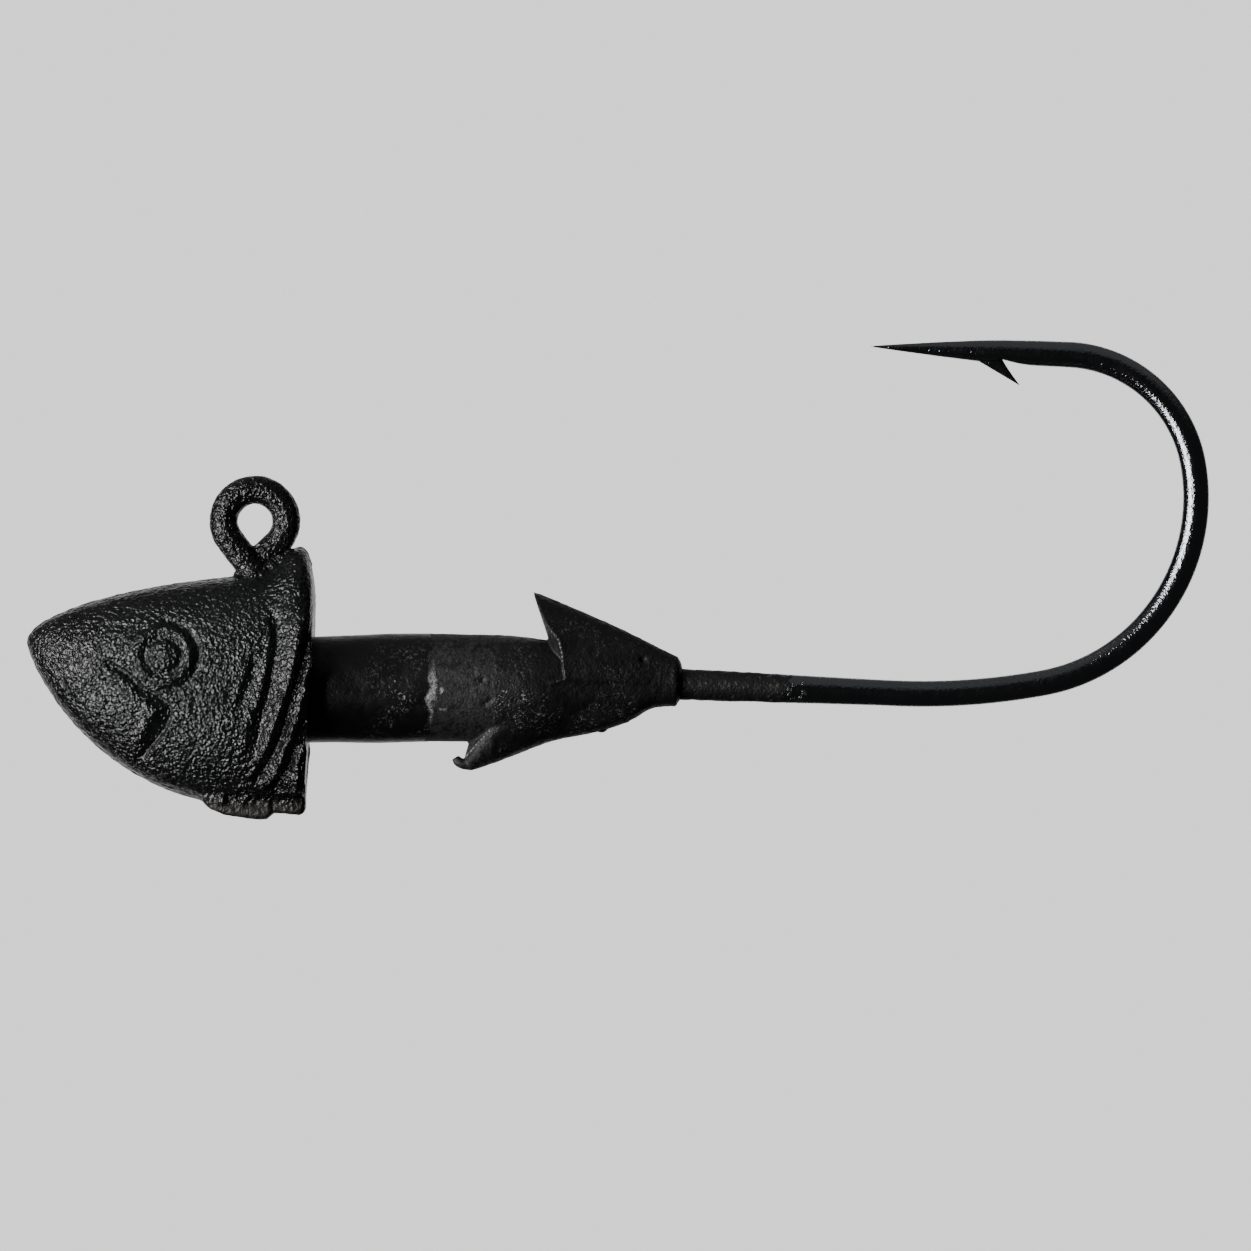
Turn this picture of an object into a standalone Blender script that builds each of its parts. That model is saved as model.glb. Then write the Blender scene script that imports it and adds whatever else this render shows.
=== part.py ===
"""Jig head: a fish-shaped lead head moulded on a jig hook, with a bait collar and a barbed keeper cone.

The origin is the centre of the line-tie eye. +X runs along the shank towards the hook's bend, +Z is
the side that the hook point is on, and the whole jig is symmetric about the plane Y = 0, where the
two halves of its mould met.
"""

import math

import bmesh
import bpy
from mathutils import Matrix, Vector

MM = 0.001

# Hook wire
WIRE_R = 0.62 * MM
SHANK_Z = -7.26 * MM
PAINTED_WIRE = ((21.6 * MM, 0.73 * MM), (24.5 * MM, 0.7 * MM), (26.9 * MM, 0.68 * MM))  # (X, radius)
PAINT_STEP = 0.3 * MM  # length of the step down to the bare wire, where the paint stops

# Line-tie eye, painted with the head: a ring closed against its own leg
EYE_R = 1.56 * MM  # ring centreline
EYE_WIRE_R = 0.69 * MM
LEG_DEG = 219.5  # where the ring runs out into the leg
EYE_SEAM_DEG = -20  # where the wire's pinched end takes over from the full ring
EYE_END_DEG = -45  # where that end leaves the ring, straight towards the leg
EYE_END_LENGTH = 1.05 * MM
EYE_END_R = 0.66 * MM
EYE_END_LAP_DEG = 15  # how far the pinched end starts inside the full ring
LEG_LENGTH = 2.2 * MM  # straight, down into the head
LEG_BEND = (2.0 * MM, -24.5)  # radius, and the turn that steepens the buried leg
CORNER_R = 1.5 * MM  # buried corner from the leg to the shank
WIRE_SPLIT_X = 4.2 * MM  # buried plane where line_tie stops and hook begins

# Bend: radius and turn of each stretch, from the shank round to the point
BEND_START_X = 32.35 * MM
BEND = ((33.3 * MM, 12.8), (9.2 * MM, 36.6), (9.55 * MM, 53.4), (6.6 * MM, 77.2))
BEND_STEP_DEG = 6

# Point: (distance from the tip, wire radius)
POINT_TIP_X = 30.6 * MM
POINT_TAPER = (
    (0.0, 0.04 * MM),
    (1.4 * MM, 0.14 * MM),
    (3.4 * MM, 0.32 * MM),
    (5.3 * MM, 0.49 * MM),
    (6.5 * MM, 0.54 * MM),
    (9.2 * MM, 0.6 * MM),
)

# Barb: a sliver raised from the wire, pointing back at the bend
BARB_ROOT_X = (34.75 * MM, 36.65 * MM)
BARB_ROOT_RISE = 0.05 * MM  # above the point's axis, inside the wire
BARB_TIP = (37.8 * MM, 1.5 * MM)  # X, and how far below the point's axis
BARB_ROOT_HALF_WIDTH = 0.32 * MM
BARB_TIP_HALF = 0.05 * MM

# Head: side outline as two curves from the nose, and its plan as a third
HEAD_BACK_X = 3.05 * MM
NOSE = (-11.1 * MM, -6.5 * MM)
HEAD_TOP = (NOSE, (-11.1 * MM, -5.2 * MM), (-6.45 * MM, -3.4 * MM), (0.5 * MM, -2.68 * MM))
HEAD_BELLY = (NOSE, (-11.1 * MM, -7.35 * MM), (-6.95 * MM, -15.75 * MM), (HEAD_BACK_X, -14.0 * MM))
HEAD_PLAN = ((-11.1 * MM, 0.0), (-11.1 * MM, 1.9 * MM), (-5.5 * MM, 3.9 * MM), (HEAD_BACK_X, 3.9 * MM))
# The top edge behind the eye, which rises round the wire's end to a crest, as (X, Z)
CREST = (
    (0.9 * MM, -2.48 * MM),
    (1.6 * MM, -1.74 * MM),
    (2.0 * MM, -1.32 * MM),
    (2.25 * MM, -1.22 * MM),
    (2.47 * MM, -1.24 * MM),
    (2.7 * MM, -1.48 * MM),
    (2.89 * MM, -1.95 * MM),
    (2.98 * MM, -2.8 * MM),
    (HEAD_BACK_X, -3.5 * MM),
)
CREST_PEAK_X = 2.3 * MM
HEAD_POWER = 2.3  # sections are a little squarer than an ellipse
CREST_POWER = 1.8  # and more pointed on top where the crest rises
HEAD_SIDES = 40
NOSE_STATIONS = 7
CHEEK_STATIONS = 9

# Cheek relief, on both sides: (X, Z) routes of the grooves, and their radius
GILLS = (
    ((1.05 * MM, -4.7 * MM), (1.05 * MM, -6.6 * MM), (0.85 * MM, -8.7 * MM), (0.4 * MM, -11.7 * MM)),
    ((2.5 * MM, -5.8 * MM), (2.35 * MM, -7.3 * MM), (1.95 * MM, -9.3 * MM), (0.8 * MM, -12.9 * MM)),
    ((2.8 * MM, -10.0 * MM), (2.2 * MM, -11.7 * MM), (1.6 * MM, -13.2 * MM)),
)
GILL_R = 0.28 * MM
MOUTH = ((-7.1 * MM, -7.35 * MM), (-5.9 * MM, -8.25 * MM), (-4.7 * MM, -9.0 * MM), (-4.2 * MM, -9.9 * MM),
         (-4.45 * MM, -10.9 * MM), (-5.15 * MM, -11.8 * MM))
MOUTH_R = 0.38 * MM
FISH_EYE = (-4.3 * MM, -6.95 * MM)
FISH_EYE_R = 1.25 * MM
FISH_EYE_RIM_R = 0.22 * MM
PUPIL_R = 0.8 * MM
PUPIL_RISE = 0.25 * MM

# Belly: the stub of the trimmed pouring gate, and the foot behind it, as (X, Z) outlines
GATE_TOP_Z = -13.0 * MM
GATE = (
    (-1.98 * MM, -14.1 * MM),
    (-1.65 * MM, -14.42 * MM),
    (-0.85 * MM, -14.72 * MM),
    (0.6 * MM, -14.86 * MM),
    (1.2 * MM, -14.83 * MM),
    (1.52 * MM, -14.54 * MM),
)
FOOT = ((1.4 * MM, -14.5 * MM), (2.95 * MM, -14.55 * MM), (3.04 * MM, -14.3 * MM))
GATE_HALF_WIDTH = 1.75 * MM
FOOT_HALF_WIDTH = 1.6 * MM
BELLY_EDGE = 0.14 * MM
GATE_KNOB = (0.0, 1.75 * MM, -13.75 * MM)
GATE_KNOB_R = 0.45 * MM

# Bait collar: (X, Z of the axis, radius)
CASTING_GAP = 0.08 * MM  # between neighbouring pieces
COLLAR = (
    (HEAD_BACK_X + CASTING_GAP, -8.3 * MM, 2.61 * MM),
    (6.4 * MM, -8.11 * MM, 2.69 * MM),
    (9.4 * MM, -7.94 * MM, 2.68 * MM),
    (11.0 * MM, -7.89 * MM, 2.67 * MM),
)
COLLAR_SIDES = 32

# Keeper cone: a tapered core, and the two half-cones that end in its barbs
CORE = (
    (COLLAR[-1][0] + CASTING_GAP, -7.89 * MM, 2.67 * MM),
    (14.2 * MM, -7.84 * MM, 2.58 * MM),
    (16.5 * MM, -7.6 * MM, 2.0 * MM),
    (19.0 * MM, -7.3 * MM, 1.45 * MM),
    (20.8 * MM, -7.1 * MM, 1.2 * MM),
    (21.5 * MM, -7.1 * MM, 1.2 * MM),
)
# Each ring of a half-cone: X and Z of its crown, half-width, and its lean in X for each unit of Z
UPPER_BARB = (
    (14.15 * MM, -3.08 * MM, 2.6 * MM, 0.35),
    (14.6 * MM, -3.17 * MM, 2.57 * MM, 0.32),
    (16.4 * MM, -3.8 * MM, 2.2 * MM, 0.15),
    (18.5 * MM, -4.62 * MM, 1.75 * MM, 0.05),
    (20.0 * MM, -5.3 * MM, 1.4 * MM, 0.0),
    (21.35 * MM, -5.9 * MM, 1.15 * MM, 0.0),
)
LOWER_BARB = (
    (10.46 * MM, -11.5 * MM, 2.45 * MM, 0.76),
    (10.55 * MM, -11.74 * MM, 2.48 * MM, 0.75),
    (11.2 * MM, -11.98 * MM, 2.55 * MM, 0.68),
    (13.2 * MM, -11.26 * MM, 2.4 * MM, 0.48),
    (15.3 * MM, -10.36 * MM, 2.15 * MM, 0.3),
    (17.5 * MM, -9.82 * MM, 1.8 * MM, 0.15),
    (19.1 * MM, -9.2 * MM, 1.5 * MM, 0.05),
    (20.2 * MM, -8.53 * MM, 1.25 * MM, 0.0),
    (21.35 * MM, -8.31 * MM, 1.15 * MM, 0.0),
)
BARB_AXIS_Z = -7.1 * MM
BARB_FAR_HALF = 0.9 * MM  # how far a half-cone reaches past its axis, inside the core
CONE_SIDES = 28

# Wire channels through the castings
LEG_CHANNEL_R = EYE_WIRE_R + CASTING_GAP
SHANK_CHANNEL_R = WIRE_R + CASTING_GAP
CHANNEL_END_X = 24.0 * MM

SHARP_DEG = 38
WELD = 0.001 * MM


# Scene helpers


def clear_scene():
    for item in list(bpy.data.objects):
        bpy.data.objects.remove(item, do_unlink=True)


def new_collection(name):
    group = bpy.data.collections.new(name)
    bpy.context.scene.collection.children.link(group)
    return group


def new_material(name, colour, roughness, metallic):
    material = bpy.data.materials.new(name)
    material.use_nodes = True
    shader = material.node_tree.nodes["Principled BSDF"]
    shader.inputs["Base Color"].default_value = (*colour, 1.0)
    shader.inputs["Roughness"].default_value = roughness
    shader.inputs["Metallic"].default_value = metallic
    material.diffuse_color = (*colour, 1.0)
    return material


def add_part(name, mesh, group, material):
    mesh.name = name
    mesh.materials.clear()
    mesh.materials.append(material)
    mesh.shade_smooth()
    mesh.set_sharp_from_angle(angle=math.radians(SHARP_DEG))
    part = bpy.data.objects.new(name, mesh)
    group.objects.link(part)
    return part


def add_tool(name, mesh, group):
    """A shape that only takes part in Booleans."""
    tool = bpy.data.objects.new(name, mesh)
    tool.hide_render = True
    tool.display_type = "WIRE"
    group.objects.link(tool)
    return tool


def combine(part, tool, operation, solver="EXACT"):
    step = part.modifiers.new(f"{operation.lower()}_{tool.name}", "BOOLEAN")
    step.operation = operation
    step.solver = solver
    step.object = tool


# Shape helpers


def tube_mesh(name, route, radii, resolution=4):
    """A closed round tube along route, with one radius for each of its points."""
    curve = bpy.data.curves.new(name, "CURVE")
    curve.dimensions = "3D"
    curve.bevel_depth = 1.0
    curve.bevel_resolution = resolution
    curve.use_fill_caps = True
    spline = curve.splines.new("POLY")
    spline.points.add(len(route) - 1)
    for point, place, radius in zip(spline.points, route, radii):
        point.co = (*place, 1.0)
        point.radius = radius
    holder = bpy.data.objects.new(name, curve)
    bpy.context.scene.collection.objects.link(holder)
    evaluated = holder.evaluated_get(bpy.context.evaluated_depsgraph_get())
    mesh = bpy.data.meshes.new_from_object(evaluated)
    bpy.data.objects.remove(holder, do_unlink=True)
    bm = bmesh.new()
    bm.from_mesh(mesh)
    bmesh.ops.remove_doubles(bm, verts=bm.verts, dist=WELD)
    bmesh.ops.recalc_face_normals(bm, faces=bm.faces)
    bm.to_mesh(mesh)
    bm.free()
    return mesh


def loft_mesh(name, rings):
    """A closed solid through rings of equally many points, capped at both ends."""
    bm = bmesh.new()
    loops = [[bm.verts.new(place) for place in ring] for ring in rings]
    for near, far in zip(loops, loops[1:]):
        for i in range(len(near)):
            j = (i + 1) % len(near)
            bm.faces.new((near[i], near[j], far[j], far[i]))
    bm.faces.new(loops[0])
    bm.faces.new(loops[-1])
    bmesh.ops.recalc_face_normals(bm, faces=bm.faces)
    mesh = bpy.data.meshes.new(name)
    bm.to_mesh(mesh)
    bm.free()
    return mesh


def bezier(corners, t):
    """A point of the cubic Bezier curve on four (a, b) corners."""
    s = 1.0 - t
    weights = (s**3, 3 * s * s * t, 3 * s * t * t, t**3)
    return tuple(sum(w * corner[axis] for w, corner in zip(weights, corners)) for axis in (0, 1))


def sampled(corners, steps=200):
    return [bezier(corners, i / steps) for i in range(steps + 1)]


def height_at(line, x):
    """The second coordinate, at x, of a line of (x, height) points."""
    for (x0, h0), (x1, h1) in zip(line, line[1:]):
        if x <= x1:
            return h0 + (h1 - h0) * (x - x0) / max(x1 - x0, 1e-12)
    return line[-1][1]


def power_curve(angle, power):
    """Cosine and sine, rounded or squared off: a power of 2 is an ellipse."""
    c, s = math.cos(angle), math.sin(angle)
    return (math.copysign(abs(c) ** (2 / power), c), math.copysign(abs(s) ** (2 / power), s))


def chain(place, heading, stretches, step_deg=10):
    """A route in the plane Y = 0 from place, its first heading in degrees up from +X.

    A stretch is (radius, turn) for an arc, whose turn is positive to the left, or (length, 0) for a
    straight run. Returns the points after place, and the last heading.
    """
    route = []
    for size, turn in stretches:
        if turn == 0:
            angle = math.radians(heading)
            route.append(place + size * Vector((math.cos(angle), 0.0, math.sin(angle))))
        else:
            inward = math.radians(heading + math.copysign(90, turn))
            centre = place + size * Vector((math.cos(inward), 0.0, math.sin(inward)))
            steps = max(1, round(abs(turn) / step_deg))
            for i in range(1, steps + 1):
                outward = inward + math.pi + math.radians(turn * i / steps)
                route.append(centre + size * Vector((math.cos(outward), 0.0, math.sin(outward))))
            heading += turn
        place = route[-1]
    return route, heading


def on_ring(degrees):
    angle = math.radians(degrees)
    return EYE_R * Vector((math.cos(angle), 0.0, math.sin(angle)))


# Line tie


def leg_route():
    """From the ring's foot down the leg and round the buried corner to the shank."""
    start = on_ring(LEG_DEG)
    route, heading = chain(start, LEG_DEG - 270, [(LEG_LENGTH, 0), LEG_BEND])
    steepness = math.radians(-heading)
    corner_drop = CORNER_R * (1 - math.cos(steepness))
    run = (route[-1].z - SHANK_Z - corner_drop) / math.sin(steepness)
    corner, _ = chain(route[-1], heading, [(run, 0), (CORNER_R, -heading)])
    return [start, *route, *corner, Vector((WIRE_SPLIT_X, 0.0, SHANK_Z))]


def line_tie_mesh():
    start = on_ring(EYE_SEAM_DEG)
    ring, _ = chain(start, EYE_SEAM_DEG + 90, [(EYE_R, LEG_DEG - EYE_SEAM_DEG)])
    route = [start, *ring[:-1], *leg_route()]
    return tube_mesh("line_tie", route, [EYE_WIRE_R] * len(route))


def eye_end_mesh():
    """The wire's cut end, which closes the ring against the leg."""
    start_deg = EYE_SEAM_DEG + EYE_END_LAP_DEG
    stretches = [(EYE_R, EYE_END_DEG - start_deg), (EYE_END_LENGTH, 0)]
    end, _ = chain(on_ring(start_deg), start_deg - 90, stretches)
    route = [on_ring(start_deg), *end]
    return tube_mesh("eye_end", route, [EYE_END_R] * len(route))


# Hook


def hook_mesh():
    stations = [(WIRE_SPLIT_X + CASTING_GAP, WIRE_R), (PAINTED_WIRE[0][0] - CASTING_GAP / 2, WIRE_R)]
    stations += [*PAINTED_WIRE, (PAINTED_WIRE[-1][0] + PAINT_STEP, WIRE_R), (BEND_START_X, WIRE_R)]
    route = [Vector((x, 0.0, SHANK_Z)) for x, _ in stations]
    radii = [radius for _, radius in stations]
    bend, _ = chain(route[-1], 0, BEND, BEND_STEP_DEG)
    route += bend
    radii += [WIRE_R] * len(bend)
    for distance, radius in reversed(POINT_TAPER):
        route.append(Vector((POINT_TIP_X + distance, 0.0, bend[-1].z)))
        radii.append(radius)
    return tube_mesh("hook", route, radii)


def barb_mesh():
    """A four-sided sliver, from its root inside the wire to its tip."""
    bend, _ = chain(Vector((BEND_START_X, 0.0, SHANK_Z)), 0, BEND, BEND_STEP_DEG)
    point_z = bend[-1].z
    bm = bmesh.new()
    bmesh.ops.create_cube(bm, size=1.0)
    tip_x, tip_drop = BARB_TIP
    for vert in bm.verts:
        side = math.copysign(1.0, vert.co.y)
        front = vert.co.x < 0
        if vert.co.z > 0:
            x = BARB_ROOT_X[0] if front else BARB_ROOT_X[1]
            vert.co = (x, side * BARB_ROOT_HALF_WIDTH, point_z + BARB_ROOT_RISE)
        else:
            x = tip_x + (-BARB_TIP_HALF if front else BARB_TIP_HALF)
            vert.co = (x, side * BARB_TIP_HALF, point_z - tip_drop)
    mesh = bpy.data.meshes.new("barb")
    bm.to_mesh(mesh)
    bm.free()
    return mesh


# Head

TOP_LINE = sampled(HEAD_TOP) + list(CREST)
BELLY_LINE = sampled(HEAD_BELLY)
PLAN_LINE = sampled(HEAD_PLAN)


def head_section(x):
    """Mid height, height above and below it, half-width and crown power of the head's section at x."""
    top = height_at(TOP_LINE, x)
    belly = height_at(BELLY_LINE, x)
    rise = max(0.0, min(1.0, x / CREST_PEAK_X))
    power = HEAD_POWER + (CREST_POWER - HEAD_POWER) * rise
    middle = (min(top, HEAD_TOP[3][1]) + belly) / 2
    return middle, top - middle, middle - belly, height_at(PLAN_LINE, x), power


def cheek_y(x, z):
    """The head's half-width at a place on its side."""
    middle, up, down, width, power = head_section(x)
    share = (z - middle) / up if z > middle else (middle - z) / down
    if z <= middle:
        power = HEAD_POWER
    return width * max(0.0, 1.0 - min(1.0, share) ** power) ** (1 / power)


def head_ring(x):
    middle, up, down, width, crown_power = head_section(x)
    ring = []
    for i in range(HEAD_SIDES):
        angle = 2 * math.pi * i / HEAD_SIDES
        above = math.sin(angle) > 0
        c, s = power_curve(angle, crown_power if above else HEAD_POWER)
        ring.append((x, width * c, middle + (up if above else down) * s))
    return ring


def head_stations():
    """Close together round the nose, even along the cheeks, and then the crest's own corners."""
    nose_x, cheek_x = NOSE[0], NOSE[0] + 2.4 * MM
    stations = []
    for i in range(1, NOSE_STATIONS + 1):
        stations.append(nose_x + (cheek_x - nose_x) * (i / NOSE_STATIONS) ** 2)
    for i in range(1, CHEEK_STATIONS + 1):
        stations.append(cheek_x + (HEAD_TOP[3][0] - cheek_x) * i / CHEEK_STATIONS)
    return stations + [x for x, _ in CREST]


def head_mesh():
    return loft_mesh("head_casting", [head_ring(x) for x in head_stations()])


def groove_mesh(name, line, radius, side):
    """A tube that lies along the surface of one cheek."""
    route = [Vector((x, side * cheek_y(x, z), z)) for x, z in line]
    radii = [radius] * len(route)
    radii[0] = radii[-1] = radius * 0.5
    return tube_mesh(name, route, radii, resolution=2)


def on_cheek(place, side):
    """A matrix that stands +Z out of one cheek at an (X, Z) place."""
    x, z = place
    reach = 0.5 * MM
    middle = Vector((x, side * cheek_y(x, z), z))
    along = Vector((2 * reach, side * (cheek_y(x + reach, z) - cheek_y(x - reach, z)), 0.0)).normalized()
    up = Vector((0.0, side * (cheek_y(x, z + reach) - cheek_y(x, z - reach)), 2 * reach)).normalized()
    out = up.cross(along).normalized() * side
    across = out.cross(along)
    frame = Matrix((along, across, out)).transposed().to_4x4()
    frame.translation = middle
    return frame


def torus_mesh(name, radius, thickness):
    bpy.ops.mesh.primitive_torus_add(
        major_radius=radius, minor_radius=thickness, major_segments=24, minor_segments=6
    )
    holder = bpy.context.object
    mesh = holder.data
    mesh.name = name
    bpy.data.objects.remove(holder, do_unlink=True)
    return mesh


def dome_mesh(name, radius, rise):
    bm = bmesh.new()
    bmesh.ops.create_uvsphere(bm, u_segments=20, v_segments=8, radius=radius)
    bmesh.ops.scale(bm, vec=(1.0, 1.0, rise / radius), verts=bm.verts)
    mesh = bpy.data.meshes.new(name)
    bm.to_mesh(mesh)
    bm.free()
    return mesh


def belly_mesh(name, outline, half_width):
    """A slab of the belly's casting, under (X, Z) points and up into the head."""
    ends = [(outline[0][0], GATE_TOP_Z), (outline[-1][0], GATE_TOP_Z)]
    loop = [ends[0], *outline, ends[1]]
    mesh = loft_mesh(name, [[(x, y, z) for x, z in loop] for y in (-half_width, half_width)])
    bm = bmesh.new()
    bm.from_mesh(mesh)
    bmesh.ops.bevel(bm, geom=bm.edges[:], offset=BELLY_EDGE, segments=1, profile=0.5, affect="EDGES")
    bm.to_mesh(mesh)
    bm.free()
    return mesh


def finish_head(head, tools):
    """Add the belly's gate and foot, and cut and raise the relief of both cheeks."""
    combine(head, add_tool("gate", belly_mesh("gate", GATE, GATE_HALF_WIDTH), tools), "UNION")
    combine(head, add_tool("foot", belly_mesh("foot", FOOT, FOOT_HALF_WIDTH), tools), "UNION")
    for side, label in ((1, "left"), (-1, "right")):
        knob = add_tool(f"gate_knob_{label}", dome_mesh("knob", GATE_KNOB_R, GATE_KNOB_R), tools)
        knob.location = (GATE_KNOB[0], side * GATE_KNOB[1], GATE_KNOB[2])
        combine(head, knob, "UNION")
        for number, line in enumerate(GILLS, 1):
            name = f"gill_{number}_{label}"
            combine(head, add_tool(name, groove_mesh(name, line, GILL_R, side), tools), "DIFFERENCE")
        name = f"mouth_{label}"
        combine(head, add_tool(name, groove_mesh(name, MOUTH, MOUTH_R, side), tools), "DIFFERENCE")
        rim = add_tool(f"eye_rim_{label}", torus_mesh("eye_rim", FISH_EYE_R, FISH_EYE_RIM_R), tools)
        rim.matrix_world = on_cheek(FISH_EYE, side)
        combine(head, rim, "UNION")
        pupil = add_tool(f"pupil_{label}", dome_mesh("pupil", PUPIL_R, PUPIL_RISE), tools)
        pupil.matrix_world = on_cheek(FISH_EYE, side)
        combine(head, pupil, "UNION")


# Collar and keeper


def round_mesh(name, stations, sides):
    """A solid of round sections, each (X, Z of its centre, radius)."""
    rings = []
    for x, z, radius in stations:
        angles = [2 * math.pi * i / sides for i in range(sides)]
        rings.append([(x, radius * math.cos(a), z + radius * math.sin(a)) for a in angles])
    return loft_mesh(name, rings)


def half_cone_mesh(name, stations):
    """A cone of half-ellipses whose leaning front face undercuts its barb."""
    rings = []
    for crown_x, crown_z, half_width, lean in stations:
        reach = crown_z - BARB_AXIS_Z
        far = -math.copysign(BARB_FAR_HALF, reach)
        ring = []
        for i in range(CONE_SIDES):
            angle = 2 * math.pi * i / CONE_SIDES
            rise = (reach if math.sin(angle) > 0 else -far) * math.sin(angle)
            x = crown_x + lean * abs(reach - rise)
            ring.append((x, half_width * math.cos(angle), BARB_AXIS_Z + rise))
        rings.append(ring)
    return loft_mesh(name, rings)


def wire_channel_mesh():
    """The room that the leg, the corner and the shank take in the castings."""
    route = leg_route()
    radii = [LEG_CHANNEL_R] * len(route)
    for x in (WIRE_SPLIT_X + 2 * CASTING_GAP, CHANNEL_END_X):
        route.append(Vector((x, 0.0, SHANK_Z)))
        radii.append(SHANK_CHANNEL_R)
    return tube_mesh("wire_channel", route, radii, resolution=8)


def build():
    clear_scene()
    parts = new_collection("jig_head")
    tools = new_collection("jig_head_cutters")

    plating = new_material("black_nickel", (0.018, 0.019, 0.022), 0.22, 0.9)
    powder = new_material("black_powder_coat", (0.021, 0.021, 0.022), 0.42, 0.0)
    satin = new_material("black_satin_paint", (0.014, 0.014, 0.014), 0.5, 0.0)
    rough = new_material("rough_black_paint", (0.016, 0.016, 0.016), 0.6, 0.0)

    line_tie = add_part("line_tie", line_tie_mesh(), parts, powder)
    # The exact solver turns this join of nearly equal tubes inside out
    combine(line_tie, add_tool("eye_end", eye_end_mesh(), tools), "UNION", solver="MANIFOLD")

    hook = add_part("hook", hook_mesh(), parts, plating)
    combine(hook, add_tool("barb", barb_mesh(), tools), "UNION")

    channel = add_tool("wire_channel", wire_channel_mesh(), tools)

    head = add_part("head_casting", head_mesh(), parts, powder)
    finish_head(head, tools)
    combine(head, channel, "DIFFERENCE")

    collar = add_part("bait_collar", round_mesh("bait_collar", COLLAR, COLLAR_SIDES), parts, satin)
    combine(collar, channel, "DIFFERENCE")

    keeper = add_part("keeper_cone", round_mesh("keeper_cone", CORE, CONE_SIDES), parts, rough)
    combine(keeper, add_tool("upper_barb", half_cone_mesh("upper_barb", UPPER_BARB), tools), "UNION")
    combine(keeper, add_tool("lower_barb", half_cone_mesh("lower_barb", LOWER_BARB), tools), "UNION")
    combine(keeper, channel, "DIFFERENCE")


build()
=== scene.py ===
"""The looks of the jig head: its painted castings, coated eye and plated hook, on a plain pale stage.

Every piece is shaped here in millimetres, in the frame of the CAD part, and scaled to metres when its
mesh is made. The origin is the centre of the line-tie eye, +X runs along the shank to the bend, and
+Z is the side that the hook point is on.
"""

import math

import bmesh
import bpy
import numpy as np
from mathutils import Matrix, Vector, noise


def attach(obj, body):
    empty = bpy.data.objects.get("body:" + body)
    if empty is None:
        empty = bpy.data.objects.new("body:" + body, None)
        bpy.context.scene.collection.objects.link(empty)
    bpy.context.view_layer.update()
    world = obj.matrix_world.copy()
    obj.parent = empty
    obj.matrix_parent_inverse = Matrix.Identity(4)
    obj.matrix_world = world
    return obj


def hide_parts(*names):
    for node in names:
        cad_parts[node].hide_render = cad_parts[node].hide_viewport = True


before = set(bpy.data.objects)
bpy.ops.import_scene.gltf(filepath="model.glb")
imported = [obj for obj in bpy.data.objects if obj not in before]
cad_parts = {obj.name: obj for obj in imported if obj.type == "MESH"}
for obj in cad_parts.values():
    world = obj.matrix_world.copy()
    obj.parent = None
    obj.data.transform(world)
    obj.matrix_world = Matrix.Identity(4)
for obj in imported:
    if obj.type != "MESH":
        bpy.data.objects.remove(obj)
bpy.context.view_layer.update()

MM = 0.001

# Head, as in the CAD part: its side outline as two curves from the nose, its plan, and the crest. Its
# cross-sections are superellipses of power HEAD_POWER.
HEAD_BACK_X = 3.05
NOSE = (-11.1, -6.5)
HEAD_TOP = (NOSE, (-11.1, -5.2), (-6.45, -3.4), (0.5, -2.68))
HEAD_BELLY = (NOSE, (-11.1, -7.35), (-6.95, -15.8), (HEAD_BACK_X, -14.0))
HEAD_PLAN = ((-11.1, 0.0), (-11.1, 1.9), (-5.5, 3.9), (HEAD_BACK_X, 3.9))
CREST = (
    (0.9, -2.48),
    (1.6, -1.74),
    (2.0, -1.32),
    (2.25, -1.22),
    (2.47, -1.24),
    (2.7, -1.48),
    (2.89, -1.95),
    (2.98, -2.8),
    (HEAD_BACK_X, -3.5),
)
HEAD_POWER = 2.3
HEAD_VOXEL = 0.08
HEAD_SMOOTHING = 8
SEAM_HEIGHT = 0.05
SEAM_HALF_WIDTH = 0.09
SEAM_END_X = 2.9
RIM_X = (2.4, HEAD_BACK_X)
RIM_TAPER = 0.045
# The middle of the back face stands out by RIM_SHIFT, fading over these heights above and below
RIM_SHIFT = 0.12
RIM_SHIFT_X = (2.4, 3.0)
RIM_SHIFT_TOP_Z = (-1.6, -3.4)
RIM_SHIFT_BELLY_Z = (-13.0, -7.0)
# Relief is cut where the skin faces sideways by these shares, and the coat wrinkles less in its depths
# and at the rim
FACING = (0.15, 0.6)
SHELTERED = 0.6
SHELTERED_DEPTH = (-0.12, -0.3)
SMOOTH_RIM = 0.5
SMOOTH_RIM_X = (2.85, 3.0)

# Gills: each groove, and last the head's rim, as (Z, X) down its line. A groove's span is the Z where it
# starts, is full, starts to fade and ends. Its front wall gets wider downwards.
GILL_LINES = (
    (
        (-4.0, 1.06),
        (-4.9, 1.23),
        (-5.7, 1.39),
        (-6.5, 1.39),
        (-8.5, 1.13),
        (-9.9, 0.81),
        (-11.0, 0.65),
        (-12.6, 0.41),
    ),
    (
        (-4.0, 3.06),
        (-6.0, 2.86),
        (-7.6, 2.57),
        (-8.7, 2.31),
        (-9.8, 2.06),
        (-11.0, 1.77),
        (-12.0, 1.31),
        (-13.2, 0.71),
    ),
    (
        (-4.0, 3.2),
        (-8.5, 3.15),
        (-10.2, 2.95),
        (-11.2, 2.6),
        (-12.2, 2.31),
        (-12.9, 1.91),
        (-13.5, 1.66),
        (-14.0, 1.51),
    ),
    ((-3.5, 3.3), (-9.0, 3.28), (-14.5, 3.25)),
)
GILL_SPANS = ((-4.0, -5.0, -10.9, -12.3), (-5.0, -7.2, -12.7, -13.3), (-10.8, -11.6, -13.2, -13.8))
GILL_DEPTH = 0.28
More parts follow.
